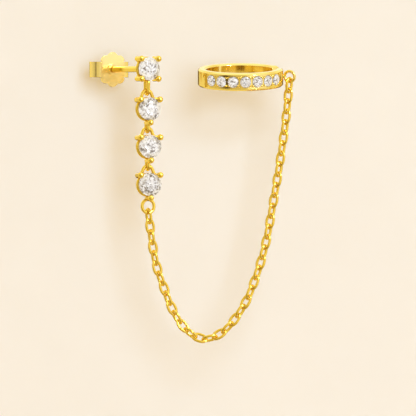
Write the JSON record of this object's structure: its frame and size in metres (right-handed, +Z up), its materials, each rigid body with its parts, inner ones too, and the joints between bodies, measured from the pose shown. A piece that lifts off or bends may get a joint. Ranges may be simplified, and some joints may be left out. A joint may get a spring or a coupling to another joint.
{
  "type": "ear chain earring",
  "caption": "Lobe stud with a butterfly nut, a line of round stone drops and a fine cable chain that hangs in a U up to an open stone-set ear cuff.",
  "frame": {"origin": "on the ear post's axis, in the middle of its free stretch, where the ear lobe sits", "axes": "+Z up the ear, +X across from the lobe stud to the ear cuff, -Y outwards to the viewer; the post points away from the viewer and is turned 26 degrees about Z"},
  "size_m": [0.0265, 0.0177, 0.0373],
  "materials": {
    "gold": "polished gold plating",
    "crystal": "clear, brilliant cut"
  },
  "bodies": {
    "earring": {"stud_setting": "gold", "stud_stone": "crystal", "drop_setting_1": "gold", "drop_setting_2": "gold", "drop_setting_3": "gold", "drop_stone_1": "crystal", "drop_stone_2": "crystal", "drop_stone_3": "crystal", "chain": "gold", "cuff_band": "gold", "cuff_stone_1": "crystal", "cuff_stone_2": "crystal", "cuff_stone_3": "crystal", "cuff_stone_4": "crystal", "cuff_stone_5": "crystal", "cuff_stone_6": "crystal", "cuff_stone_7": "crystal"},
    "nut": {"ear_nut": "gold"}
  },
  "joints": [
    {"name": "nut_slide", "type": "slide", "parent": "earring", "child": "nut", "axis": [-0.4384, 0.8988, 0], "range_m": [-0.0083, 0.0018]}
  ]
}
